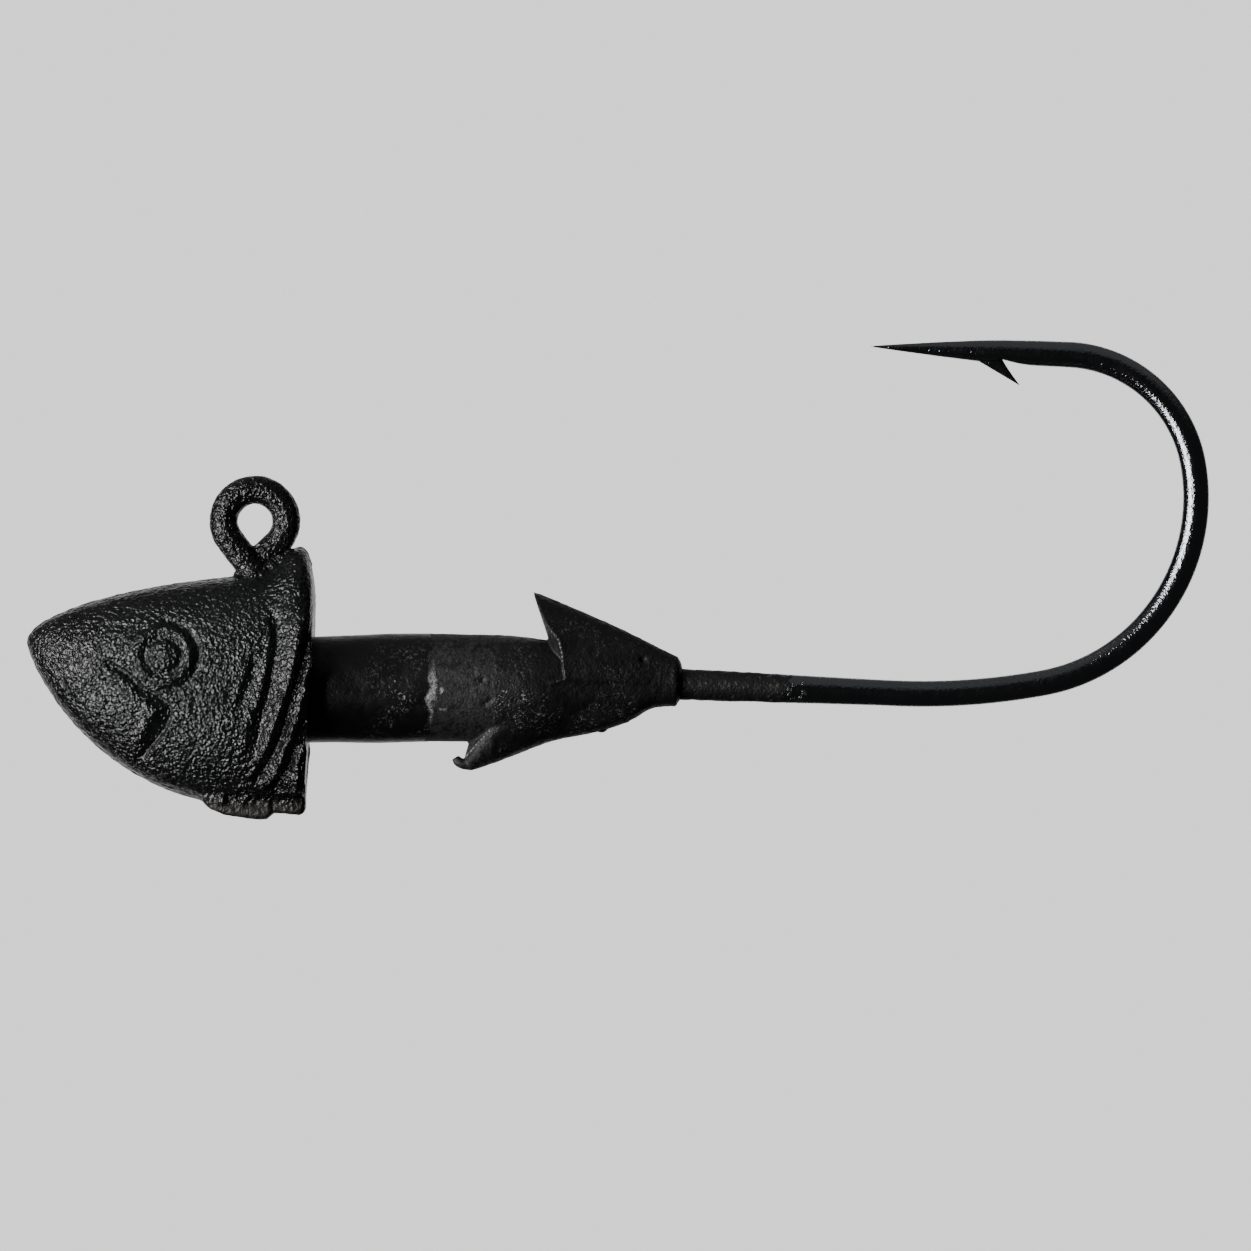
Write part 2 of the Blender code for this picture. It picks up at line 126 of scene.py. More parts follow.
GILL_LIFT = 0.28
GILL_WALL = 0.33
GILL_WALL_GROWTH = 0.22
GILL_WALL_Z = (-8.0, -11.0)
GILL_LEAST_PLATE = 0.3

# Mouth: its line back from the nose, whose corner is at a share of its length. The lip falls to the line
# over a width that is greatest at the corner, and the cheek over a narrow one.
MOUTH = (
    (-7.33, -7.15),
    (-5.97, -7.87),
    (-5.27, -8.5),
    (-4.6, -8.8),
    (-3.93, -9.27),
    (-3.76, -9.78),
    (-3.86, -10.3),
    (-4.25, -10.97),
    (-4.96, -11.9),
    (-5.5, -12.5),
)
MOUTH_DEPTH = 0.5
MOUTH_CORNER = 0.66
MOUTH_CORNER_SPREAD = 0.26
LIP_FALL = 0.36
LIP_FALL_GROWTH = 0.44
LIP_RIDGE = 0.1
CHEEK_FALL = 0.14

# Creases of the nose and the cheek, and the eye: (X, Z)
NOSE_CREASE = ((-10.1, -7.1), (-9.25, -8.3), (-8.35, -9.7))
NOSE_CREASE_DEPTH = 0.07
CHEEK_CREASE = ((0.43, -6.2), (0.33, -7.4), (-0.02, -8.7), (-0.67, -9.9))
CHEEK_CREASE_DEPTH = 0.22
CHEEK_CREASE_FALLS = (0.36, 0.6)
FISH_EYE = (-4.15, -6.9)
FISH_EYE_R = 1.28
FISH_EYE_RIDGE = 0.2
FISH_EYE_RIDGE_WIDTH = 0.24
SOCKET_GAP = 0.45
SOCKET_DEPTH = 0.14
SOCKET_WIDTH = 0.18
SOCKET_FADE = (-0.6, 0.6)
PUPIL_R = 0.82
PUPIL_RISE = 0.3

# Belly: the trimmed pouring gate and the foot behind it as (X, Z), and the marks on the gate's sides
GATE = ((-1.98, -14.1), (-1.65, -14.42), (-0.85, -14.72), (0.6, -14.86), (1.2, -14.83), (1.52, -14.54))
FOOT = ((1.4, -14.5), (2.98, -14.55), (3.12, -14.3))
GATE_TOP_Z = -13.0
GATE_HALF_WIDTH = 1.75
FOOT_HALF_WIDTH = 1.6
GATE_KNOB = (0.12, -13.72)
GATE_KNOB_R = 0.28
GATE_RING_GAP = 0.2
GATE_RING_HEIGHT = 0.08
GATE_STEP = (-1.0, -13.75)
GATE_STEP_FRONT = (-0.35, -0.27)
GATE_STEP_BACK = 0.35
GATE_STEP_HALF_HEIGHT = 0.5
GATE_MARK_Y = 1.95
GATE_MARK_EDGE = 0.05
GATE_SLANT = 0.5
DULL_Z = (-13.6, -14.3)

# Paint and lead between the eye's ring and the crest: (X, Z, radius)
RING_FILLET = (
    (-0.5, -2.78, 0.42),
    (0.5, -2.5, 0.55),
    (1.0, -2.25, 0.5),
    (1.45, -1.9, 0.42),
    (1.8, -1.65, 0.34),
)

# Line-tie eye: its ring runs from the seam to the leg, and its other end closes behind the leg
EYE_R = 1.56
EYE_WIRE_R = 0.71
LEG_DEG = 219.5
LEG_LENGTH = 3.2
EYE_SEAM_DEG = -20
EYE_OVERLAP_DEG = 15
EYE_END_DEG = -45
EYE_END_LENGTH = 1.05
EYE_END_THINNER = 0.02
EYE_END_BACK = 0.35
EYE_END_BACK_Z = (-0.4, -1.8)
EYE_VOXEL = 0.07

# Bait collar and keeper: (X, Z of the axis, radius)
COLLAR = (
    (2.9, -8.31, 2.64),
    (3.13, -8.3, 2.65),
    (6.4, -8.11, 2.72),
    (9.4, -7.94, 2.71),
    (11.0, -7.89, 2.7),
    (11.6, -7.89, 2.65),
)
CORE = (
    (10.8, -7.89, 2.64),
    (11.5, -7.88, 2.69),
    (14.2, -7.84, 2.58),
    (16.5, -7.6, 2.0),
    (19.0, -7.3, 1.45),
    (20.8, -7.1, 1.2),
    (21.28, -7.1, 1.2),
    (21.5, -7.12, 1.02),
    (21.64, -7.2, 0.7),
)
# Cone round the core: its side outline above and below as (X, Z), and its widest line as (X, half-width).
# Each starts at the hidden root of the barbs' front face, and then comes the barbs' edge.
CONE_TOP = (
    (14.95, -5.4),
    (14.08, -2.98),
    (14.6, -3.14),
    (16.4, -3.8),
    (18.5, -4.62),
    (20.0, -5.3),
    (21.4, -5.92),
)
CONE_BOTTOM = (
    (11.2, -10.4),
    (10.98, -11.35),
    (11.0, -11.9),
    (11.5, -11.95),
    (13.2, -11.27),
    (15.3, -10.36),
    (17.5, -9.82),
    (19.1, -9.2),
    (20.2, -8.53),
    (21.4, -8.33),
)
CONE_WIDTH = ((15.9, 1.9), (15.8, 2.45), (16.5, 2.25), (18.5, 1.8), (20.0, 1.42), (21.4, 1.15))
CONE_MIDDLE_Z = -7.2
# How far the upper barb leans forward at each share of its height
BARB_LEAN = (
    (0.0, 0.0),
    (0.15, 0.07),
    (0.33, 0.14),
    (0.45, 0.22),
    (0.52, 0.36),
    (0.59, 0.52),
    (0.71, 0.7),
    (0.85, 0.85),
    (1.0, 1.0),
)
LOWER_LEAN_POWER = 0.7
# Curled end of the lower barb, and how thick it is at its two ends
BARB_NUB = ((10.52, -11.4), (10.66, -11.6), (10.95, -11.7), (11.4, -11.7))
BARB_NUB_R = (0.19, 0.3)
BARB_NUB_Y = (-0.4, 0.0, 0.4)
# Drips of lead along the keeper's underside: (centre, radius, squash)
DRIPS = (
    ((17.72, 0.0, -9.7), 0.17, (1.6, 1.0, 0.8)),
    ((18.95, 0.2, -9.2), 0.12, (1.4, 1.0, 0.8)),
    ((21.3, 0.0, -8.25), 0.16, (1.0, 1.2, 0.8)),
)
# Pits as (X, Z): a deep one in the keeper's end, and shallow ones in the worn band
KEEPER_PIT = (19.7, -6.1)
KEEPER_PIT_DEPTH = 0.2
KEEPER_PIT_R = 0.16
WORN_PITS = ((11.5, -7.6), (11.75, -7.45), (12.15, -8.45), (11.9, -8.65), (11.2, -7.0))
WORN_PIT_DEPTH = 0.1
WORN_PIT_R = 0.14
KEEPER_VOXEL = 0.065
# Bare lead and a painted highlight show along the barbs' edges above and below these heights
BARE_AND_HIGHLIGHT_EDGE_Z = (-9.9, -6.7)
BARE_AND_HIGHLIGHT_EDGE_R = 0.15
BARE_AND_HIGHLIGHT_FADE = 0.35
BARE_AND_HIGHLIGHT_FADE_Z = (-5.0, -4.4)
# The paint is rougher behind the worn band, and its pale specks, which are painted glints on small raised
# flecks, are fewer towards the end and the top
ROUGH_X = (11.6, 12.6)
ROUGH_HEIGHT = 0.018
SPECK_GLINT_RUN = 2.0
SPECK_GLINT_FADE_X = (16.0, 20.0)
SPECK_GLINT_FADE_Z = (-8.2, -6.6)

# Band between the collar and the keeper whose paint is worn, and the bare strip along its front edge
WORN_X = (9.05, 12.35)
WORN_FADE_X = (10.6, 11.6)
WORN_FADE = 0.25
WORN_DEPTH = 0.02
STRIP_X = 9.22
STRIP_HALF_WIDTH = 0.38
STRIP_SPOTS_X = 9.75
STRIP_SPOTS_HALF_WIDTH = 0.3
STRIP_Z = -8.1
STRIP_HALF_HEIGHT = 2.6

# Hook wire: its radius along X, its bend as (radius, turn in degrees), and the point's radius behind its tip.
# The barb is cut from the point's underside, along (X, Z).
WIRE_R = 0.65
SHANK_Z = -7.26
SHANK_START_X = 4.3
WIRE_RADII = ((21.0, 0.79), (22.0, 0.775), (24.5, 0.745), (27.0, 0.71), (29.5, 0.675), (31.5, WIRE_R))
ROUTE_STEP = 0.15
BEND_START_X = 32.35
BEND = ((33.3, 12.8), (9.2, 36.6), (9.55, 53.4), (6.6, 77.2))
POINT_TIP_X = 30.42
POINT_LENGTH = 10.5
POINT_LEAST_Z = 8.0
POINT_TAPER = (
    (0.0, 0.02),
    (1.4, 0.17),
    (3.4, 0.365),
    (5.4, 0.53),
    (6.5, 0.59),
    (8.4, 0.635),
    (POINT_LENGTH, WIRE_R),
)
BARB_CUT = ((36.4, 9.45), (36.9, 9.66), (37.3, 9.57), (37.9, 9.45), (38.9, 9.34), (40.0, 9.31))
BARB_ROOT_X = (34.75, 36.8)
BARB_REACH = (3.14, 1.13)
BARB_BACK_POWER = 1.25
BARB_TOP = 0.05
BARB_DROP = 1.68
BARB_HALF_WIDTH = 0.34
# Paint from the keeper covers the shank up to here, ending ragged
PAINTED_X = (28.2, 25.6)
PAINTED_RAGGED = 1.2

# Paints, plating and metal
COAT_BLACK = ((0.006, 0.006, 0.0065), (0.011, 0.011, 0.012))
COAT_DULL = ((0.012, 0.012, 0.011), (0.05, 0.046, 0.04))
COAT_WRINKLE = 0.2
COAT_WRINKLE_DEPTH = 0.18
COLLAR_BLACK = (0.003, 0.003, 0.0028)
KEEPER_BLACK = (0.0065, 0.0063, 0.006)
WORN_PAINT = ((0.004, 0.004, 0.004), (0.034, 0.034, 0.035))
WORN_BLOT = (0.002, 0.002, 0.002)
# Pale specks: a painted glint, colour standing for light caught by small raised flecks of paint
SPECK_GLINT = (0.3, 0.3, 0.29)
# Pale grey of bare lead, also painted along the keeper barbs' edges as a highlight
BARE_LEAD_AND_HIGHLIGHT = (0.42, 0.42, 0.42)
BLACK_NICKEL = ((0.24, 0.245, 0.265), (0.27, 0.28, 0.3))
WIRE_PAINT = ((0.007, 0.007, 0.007), (0.07, 0.06, 0.045))
SKIN_DEPTH = 0.05

# Camera in millimetres, and floor and window in metres. The glows run from one Y or Z of a direction to
# another.
CAMERA_TARGET = (18.73, 0.0, -4.44)
CAMERA_DISTANCE = 600.0
FRAME_WIDTH = 62.55
CAMERA_ROLL_DEG = 2.4
SENSOR_WIDTH = 36.0
FLOOR_Z = -0.16
FLOOR_R = 0.75
FLOOR_COLOUR = (0.7, 0.7, 0.695)
BACKDROP_COLOUR = (1.33, 1.33, 1.32)
ROOM_LIGHT = 0.02
BACKDROP_LIGHT = 0.9
BACKDROP_Y = (0.74, 0.94)
OVERHEAD_LIGHT = 0.12
OVERHEAD_Z = (0.45, 0.85)
WINDOW_DEG = 52
WINDOW_RISE = -0.09
WINDOW_DISTANCE = 0.6
WINDOW_SIZE = (0.39, 0.64)
WINDOW_RADIANCE = 11.0


# Shapes, in millimetres


def bezier(corners, steps=240):
    t = np.linspace(0.0, 1.0, steps + 1)[:, None]
    a, b, c, d = (np.array(corner) for corner in corners)
    return a * (1 - t) ** 3 + 3 * b * t * (1 - t) ** 2 + 3 * c * t * t * (1 - t) + d * t**3


def through(points, steps=12):
    """A smooth Catmull-Rom line through points, with steps places between each two."""
    p = np.array(points, float)
    p = np.vstack([2 * p[0] - p[1], p, 2 * p[-1] - p[-2]])
    places = []
    for i in range(1, len(p) - 2):
        t = np.linspace(0, 1, steps, endpoint=False)[:, None]
        a, b, c, d = p[i - 1 : i + 3]
        bend, twist = 2 * a - 5 * b + 4 * c - d, 3 * b - a - 3 * c + d
        places.append(0.5 * (2 * b + (c - a) * t + bend * t**2 + twist * t**3))
    return np.vstack([*places, p[-2][None]])


def smoothstep(low, high, value):
    t = np.clip((value - low) / (high - low), 0.0, 1.0)
    return t * t * (3 - 2 * t)


def bell(value, width):
    return np.exp(-((value / width) ** 2))


def loft(rings):
    """Vertices and faces of a closed solid through rings of equally many points."""
    rings = np.asarray(rings, float)
    count, sides = rings.shape[:2]
    faces = []
    for r in range(count - 1):
        for i in range(sides):
            j = (i + 1) % sides
            faces.append((r * sides + i, r * sides + j, (r + 1) * sides + j, (r + 1) * sides + i))
    faces.append(tuple(range(sides))[::-1])
    faces.append(tuple(range((count - 1) * sides, count * sides)))
    return rings.reshape(-1, 3), faces


def turned(stations, sides):
    """A round solid along X through stations of (X, Z of the axis, radius)."""
    angle = np.linspace(0, 2 * math.pi, sides, endpoint=False)
    return loft(
        [
            np.stack([np.full(sides, x), radius * np.cos(angle), z + radius * np.sin(angle)], 1)
            for x, z, radius in stations
        ]
    )


def sweep(route, radii, sides=24):
    """A round tube along a route in the plane Y = 0."""
    route = np.asarray(route, float)
    ahead = np.gradient(route, axis=0)
    ahead /= np.linalg.norm(ahead, axis=1)[:, None]
    across = np.stack([-ahead[:, 2], np.zeros(len(route)), ahead[:, 0]], 1)
    angle = np.linspace(0, 2 * math.pi, sides, endpoint=False)
    rings = []
    for place, normal, radius in zip(route, across, radii):
        ring = place + radius * (np.outer(np.cos(angle), normal) + np.outer(np.sin(angle), (0.0, 1.0, 0.0)))
        rings.append(ring)
    return loft(rings)


def ball(centre, radius, squash=(1.0, 1.0, 1.0)):
    bm = bmesh.new()
    bmesh.ops.create_icosphere(bm, subdivisions=3, radius=radius)
    verts = np.array([v.co for v in bm.verts]) * squash + centre
    faces = [tuple(v.index for v in f.verts) for f in bm.faces]
    bm.free()
    return verts, faces


def closed_mesh(name, solids):
    """One mesh of several (vertices, faces) solids, with their faces turned outwards."""
    verts, faces = [], []
    for solid_verts, solid_faces in solids:
        start = len(verts)
        verts.extend(map(tuple, solid_verts))
        faces.extend(tuple(start + i for i in face) for face in solid_faces)
    mesh = bpy.data.meshes.new(name)
    mesh.from_pydata(verts, [], faces)
    bm = bmesh.new()
    bm.from_mesh(mesh)
    bmesh.ops.recalc_face_normals(bm, faces=bm.faces)
    bm.to_mesh(mesh)
    bm.free()
    return mesh


def fused(name, solids, voxel):
    """The solids melted into one skin of even small faces."""
    holder = bpy.data.objects.new(name, closed_mesh(name, solids))
    bpy.context.scene.collection.objects.link(holder)
    step = holder.modifiers.new("skin", "REMESH")
    step.mode = "VOXEL"
    step.voxel_size = voxel
    step.adaptivity = 0.0
    mesh = bpy.data.meshes.new_from_object(holder.evaluated_get(bpy.context.evaluated_depsgraph_get()))
    bpy.data.objects.remove(holder, do_unlink=True)
    return mesh


def places_of(mesh):
    co = np.empty(len(mesh.vertices) * 3, np.float32)
    mesh.vertices.foreach_get("co", co)
    return co.reshape(-1, 3).astype(float)


def normals_of(mesh, places):
    move(mesh, places)
    normals = np.empty(len(mesh.vertices) * 3, np.float32)
    mesh.vertex_normals.foreach_get("vector", normals)
    return normals.reshape(-1, 3).astype(float)


def move(mesh, places):
    mesh.vertices.foreach_set("co", places.astype(np.float32).ravel())
    mesh.update()


def smoothed(mesh, places, rounds):
    """Rounds of smoothing that keep the volume: each pulls in and then pushes out."""
    ends = np.empty(len(mesh.edges) * 2, np.int32)
    mesh.edges.foreach_get("vertices", ends)
    a, b = ends.reshape(-1, 2).T
    degree = np.bincount(ends, minlength=len(places))[:, None]
    for _ in range(rounds):
        for strength in (0.5, -0.53):
            total = np.zeros_like(places)
            for axis in range(3):
                total[:, axis] = np.bincount(a, places[b, axis], len(places))
                total[:, axis] += np.bincount(b, places[a, axis], len(places))
            places = places + strength * (total / degree - places)
    return places


def waves(places, size, seed=0.0):
    """Smooth noise between about -1 and 1, whose waves are about size long."""
    shift = Vector((seed, 2.3 * seed, 5.1 * seed))
    return np.array([noise.noise(Vector(p) / size + shift) for p in places])


def crinkle(places):
    """The larger of the powder coat's wrinkles."""
    bend = 0.05 * np.stack([waves(places, 0.5, s) for s in (3.0, 5.0, 8.0)], 1)
    return 0.03 * waves(places + bend, 0.3, 1.0)


def nearest_on(line, x, z):
    """How far places (x, z) are from a line, how far along it that is (0 to 1), and on which side."""
    best = np.full(len(x), 1e9)
    share = np.zeros(len(x))
    side = np.ones(len(x))
    steps = np.linalg.norm(np.diff(line, axis=0), axis=1)
    run = np.concatenate([[0], np.cumsum(steps)])
    for i, (start, end) in enumerate(zip(line, line[1:])):
        dx, dz = end - start
        t = np.clip(((x - start[0]) * dx + (z - start[1]) * dz) / (dx * dx + dz * dz), 0, 1)
        ox, oz = x - start[0] - t * dx, z - start[1] - t * dz
        away = np.hypot(ox, oz)
        closer = away < best
        best = np.where(closer, away, best)
        share = np.where(closer, (run[i] + t * steps[i]) / run[-1], share)
        side = np.where(closer, np.sign(dx * oz - dz * ox), side)
    return best, share, side


# Pieces


def as_piece(name, mesh, places, material, replaced=None):
    """The finished mesh as a piece on the root body, in place of a CAD node if it replaces one."""
    move(mesh, places * MM)
    mesh.name = name
    mesh.materials.clear()
    mesh.materials.append(material)
    mesh.shade_smooth()
    piece = bpy.data.objects.new(name, mesh)
    bpy.context.scene.collection.objects.link(piece)
    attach(piece, "root")
    if replaced:
        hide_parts(replaced)


def add_number(mesh, name, values):
    layer = mesh.attributes.new(name, "FLOAT", "POINT")
    layer.data.foreach_set("value", values.astype(np.float32))


# Head

TOP_LINE = np.vstack([bezier(HEAD_TOP), CREST])
BELLY_LINE = bezier(HEAD_BELLY)
PLAN_LINE = bezier(HEAD_PLAN)


def power_wave(values):
    return np.sign(values) * np.abs(values) ** (2 / HEAD_POWER)


def head_ring(x, sides=128):
    top = np.interp(x, *TOP_LINE.T)
    belly = np.interp(x, *BELLY_LINE.T)
    width = np.interp(x, *PLAN_LINE.T)
    middle = (min(top, HEAD_TOP[3][1]) + belly) / 2
    angle = np.linspace(0, 2 * math.pi, sides, endpoint=False)
    across = width * power_wave(np.cos(angle))
    rise = np.where(np.sin(angle) > 0, top - middle, middle - belly) * power_wave(np.sin(angle))
    return np.stack([np.full(sides, x), across, middle + rise], 1)


def slab(outline, half_width, edge=0.18):
    """A slab under an (X, Z) outline, reaching up into the head, with its long edges rounded off."""
    loop = np.array([(outline[0][0], GATE_TOP_Z), *outline, (outline[-1][0], GATE_TOP_Z)])
    inwards = loop.mean(0) - loop
    inwards /= np.linalg.norm(inwards, axis=1)[:, None]
    flat = half_width - edge
    rings = []
    for y, inset in ((-half_width, edge), (-flat, 0), (flat, 0), (half_width, edge)):
        rings.append([(x, y, z) for x, z in loop + inwards * inset])
    return loft(rings)


def head_solids():
    nose = NOSE[0] + 2.4 * np.linspace(0.03, 1, 60) ** 2
    stations = [*nose, *np.linspace(NOSE[0] + 2.5, 0.85, 120), *np.linspace(0.9, HEAD_BACK_X, 60)]
    solids = [loft([head_ring(x) for x in stations])]
    solids.append(slab(GATE, GATE_HALF_WIDTH))
    solids.append(slab(FOOT, FOOT_HALF_WIDTH))
    for x, z, radius in RING_FILLET:
        solids.append(ball((x, 0.0, z), radius))
    return solids


def gill_relief(x, z):
    """Overlapping gill plates: each rises gently to its back edge and drops into the next one's groove."""
    lines = [through(line)[::-1] for line in GILL_LINES]
    grooves = [np.interp(z, line[:, 0], line[:, 1]) for line in lines]
    wall = GILL_WALL + GILL_WALL_GROWTH * smoothstep(*GILL_WALL_Z, z)
    relief = np.zeros(len(x))
    for groove, following, (fade_in, full, hold, fade_out) in zip(grooves, grooves[1:], GILL_SPANS):
        strength = smoothstep(fade_in, full, z) * smoothstep(fade_out, hold, z)
        plate = np.maximum(following - groove - wall, GILL_LEAST_PLATE)
        into = -GILL_DEPTH * np.clip(1 + (x - groove) / wall, 0, 1)
        rise = -GILL_DEPTH + (GILL_DEPTH + GILL_LIFT) * np.clip((x - groove) / plate, 0, 1)
        rise -= GILL_LIFT * np.clip((x - groove - plate) / wall, 0, 1)
        relief += strength * np.where(x < groove, into, rise)
    return relief


def mouth_relief(x, z):
    """The mouth: one steep wall on the cheek's side of its line, and the lip's slope on the other."""
    away, share, side = nearest_on(through(MOUTH), x, z)
    corner = bell(share - MOUTH_CORNER, MOUTH_CORNER_SPREAD)
    fall = (LIP_FALL + LIP_FALL_GROWTH * corner) * smoothstep(1.15, 0.75, share)
    depth = MOUTH_DEPTH * (0.6 + 0.4 * corner) * smoothstep(0, 0.12, share) * smoothstep(1, 0.8, share)
    lip_side = np.clip(1 - away / fall, 0, 1) * depth
    cheek_side = np.clip(1 - away / CHEEK_FALL, 0, 1) * depth
    ridge = LIP_RIDGE * corner * bell(away - fall - 0.25, 0.3)
    return np.where(side < 0, ridge - lip_side, -cheek_side)


def crease_relief(x, z):
    away, share, _ = nearest_on(through(NOSE_CREASE), x, z)
    nose = NOSE_CREASE_DEPTH * bell(away, 0.1) * smoothstep(0, 0.25, share) * smoothstep(1, 0.75, share)
    away, share, side = nearest_on(through(CHEEK_CREASE), x, z)
    ends = smoothstep(0, 0.3, share) * smoothstep(1, 0.6, share)
    cheek = CHEEK_CREASE_DEPTH * ends * np.clip(1 - away / np.where(side < 0, *CHEEK_CREASE_FALLS), 0, 1)
    return -nose - cheek


def eye_relief(x, z):
    radius = np.hypot(x - FISH_EYE[0], z - FISH_EYE[1])
    ridge = FISH_EYE_RIDGE * bell(radius - FISH_EYE_R, FISH_EYE_RIDGE_WIDTH)
    socket = SOCKET_DEPTH * bell(radius - FISH_EYE_R - SOCKET_GAP, SOCKET_WIDTH)
    socket = socket * smoothstep(*SOCKET_FADE, x - FISH_EYE[0])
    pupil = PUPIL_RISE * np.sqrt(np.clip(1 - (radius / PUPIL_R) ** 2, 0, 1))
    return ridge - socket + pupil


def gate_marks(places):
    """The trimmed gate's marks on both sides: a slanted button in a ring, and a slanted step before it."""
    x, y, z = places.T
    out = np.abs(y)
    knob = np.hypot(x - GATE_KNOB[0], z - GATE_KNOB[1])
    button = GATE_MARK_Y + GATE_SLANT * (x - GATE_KNOB[0])
    share = smoothstep(GATE_KNOB_R + GATE_MARK_EDGE, GATE_KNOB_R - GATE_MARK_EDGE, knob)
    out = out + share * np.maximum(button - out, 0)
    out = out + GATE_RING_HEIGHT * bell(knob - GATE_KNOB_R - GATE_RING_GAP, GATE_RING_HEIGHT)
    ahead = x - GATE_STEP[0]
    step = GATE_MARK_Y + GATE_SLANT * np.minimum(ahead, 0)
    share = smoothstep(*GATE_STEP_FRONT, ahead) * smoothstep(GATE_STEP_BACK, 0, ahead)
    share = share * smoothstep(GATE_STEP_HALF_HEIGHT, GATE_STEP_HALF_HEIGHT - 0.1, np.abs(z - GATE_STEP[1]))
    out = out + share * np.maximum(step - out, 0)
    return np.stack([x, np.sign(y) * out, z], 1)


def dull_share(places):
    """1 on the trimmed belly, whose coat is dull, except on the gate's marks."""
    x, _, z = places.T
    marks = np.hypot((x - GATE_KNOB[0]) / 0.5, (z - GATE_KNOB[1]) / 0.5)
    marks = np.minimum(marks, np.hypot((x - GATE_STEP[0] + 0.1) / 0.3, (z - GATE_STEP[1]) / 0.5))
    return smoothstep(*DULL_Z, z + 0.35 * waves(places, 0.5, 20.0)) * smoothstep(0.8, 1.2, marks)


def head_piece(material):
    mesh = fused("head", head_solids(), HEAD_VOXEL)
    places = smoothed(mesh, places_of(mesh), HEAD_SMOOTHING)
    normals = normals_of(mesh, places)
    x, y, z = places.T
    facing = smoothstep(*FACING, np.abs(normals[:, 1]))
    relief = (gill_relief(x, z) + mouth_relief(x, z) + crease_relief(x, z) + eye_relief(x, z)) * facing
    seam = SEAM_HEIGHT * bell(y, SEAM_HALF_WIDTH) * (x < SEAM_END_X)
    places = gate_marks(places + normals * (relief + seam)[:, None])
    places[:, 1] *= 1 - RIM_TAPER * smoothstep(*RIM_X, x)
    places = smoothed(mesh, places, 1)
    normals = normals_of(mesh, places)
    wrinkled = 1 - SHELTERED * smoothstep(*SHELTERED_DEPTH, relief)
    wrinkled -= SMOOTH_RIM * smoothstep(*SMOOTH_RIM_X, x)
    places = places + normals * (crinkle(places) * wrinkled)[:, None]
    back = smoothstep(*RIM_SHIFT_X, x) * smoothstep(*RIM_SHIFT_BELLY_Z, z) * smoothstep(*RIM_SHIFT_TOP_Z, z)
    places[:, 0] += RIM_SHIFT * back
    add_number(mesh, "dull", dull_share(places))
    as_piece("head_coated", mesh, places, material, "head_casting")


# Line tie


def arc(centre, radius, start_deg, end_deg, steps=48):
    angle = np.radians(np.linspace(start_deg, end_deg, steps))
    x, z = centre[0] + radius * np.cos(angle), centre[1] + radius * np.sin(angle)
    return np.stack([x, np.zeros(steps), z], 1)


def straight(start, heading_deg, length, steps=8):
    angle = math.radians(heading_deg)
    run = np.linspace(0, length, steps + 1)[1:, None]
    return start + run * np.array((math.cos(angle), 0.0, math.sin(angle)))


def line_tie_piece(material):
    ring = arc((0, 0), EYE_R, EYE_SEAM_DEG, LEG_DEG, 90)
    route = np.vstack([ring, straight(ring[-1], LEG_DEG - 270, LEG_LENGTH)])
    end_ring = arc((0, 0), EYE_R, EYE_SEAM_DEG + EYE_OVERLAP_DEG, EYE_END_DEG)
    end = np.vstack([end_ring, straight(end_ring[-1], EYE_END_DEG - 90, EYE_END_LENGTH)])
    end_verts, end_faces = sweep(end, [EYE_WIRE_R - EYE_END_THINNER] * len(end), 40)
    end_verts[:, 1] += EYE_END_BACK * smoothstep(*EYE_END_BACK_Z, end_verts[:, 2])
    solids = [sweep(route, [EYE_WIRE_R] * len(route), 40), (end_verts, end_faces)]
    mesh = fused("line_tie", solids, EYE_VOXEL)
    places = smoothed(mesh, places_of(mesh), 3)
    normals = normals_of(mesh, places)
    places = places + normals * (0.8 * crinkle(places) + 0.02 * waves(places, 1.1, 4.0))[:, None]
    as_piece("line_tie_coated", mesh, places, material, "line_tie")


# Collar and keeper


def paint_skin(places):
    """Small unevenness of the casting and its paint."""
    return 0.03 * waves(places, 2.2, 6.0) + 0.008 * waves(places, 0.35, 7.0)


def ragged(places):
    """How far the worn band's edges wander along X."""
    return 0.25 * waves(places, 0.7, 9.0) + 0.1 * waves(places, 0.2, 10.0)


def worn_band(places):
    """1 where the paint is worn from the casting in the band between the collar and the keeper."""
    x = places[:, 0]
    wander = ragged(places)
    front = smoothstep(-0.06, 0.06, x - WORN_X[0] + wander)
    back = smoothstep(0.12, -0.12, x - WORN_X[1] + wander)
    return front * back * (1 - WORN_FADE * smoothstep(*WORN_FADE_X, x))


def worn_edge(places):
    """1 along the ragged front edge of the worn band."""
    x, _, z = places.T
    wander = ragged(places)
    spots = bell(x - STRIP_SPOTS_X + wander, STRIP_SPOTS_HALF_WIDTH)
    spots = spots * smoothstep(0.1, 0.35, waves(places, 0.4, 11.0))
    strip = bell(x - STRIP_X + wander, STRIP_HALF_WIDTH)
    return np.maximum(strip, spots) * bell(z - STRIP_Z, STRIP_HALF_HEIGHT)


def collar_piece(material):
    mesh = closed_mesh("collar", [turned(through(COLLAR, 60), 160)])
    places = places_of(mesh)
    normals = normals_of(mesh, places)
    lift = paint_skin(places) - WORN_DEPTH * worn_band(places)
    places = places + normals * lift[:, None]
    add_number(mesh, "worn", worn_band(places))
    add_number(mesh, "bare_and_highlight", worn_edge(places))
    as_piece("collar_painted", mesh, places, material, "bait_collar")


def evenly(line, count):
    """A line's second to last points resampled to count places, after its first point."""
    smooth = through(line[1:], 16)
    run = np.concatenate([[0], np.cumsum(np.linalg.norm(np.diff(smooth, axis=0), axis=1))])
    share = np.linspace(0, run[-1], count)
    places = np.stack([np.interp(share, run, smooth[:, 0]), np.interp(share, run, smooth[:, 1])], 1)
    return np.vstack([line[0], places])


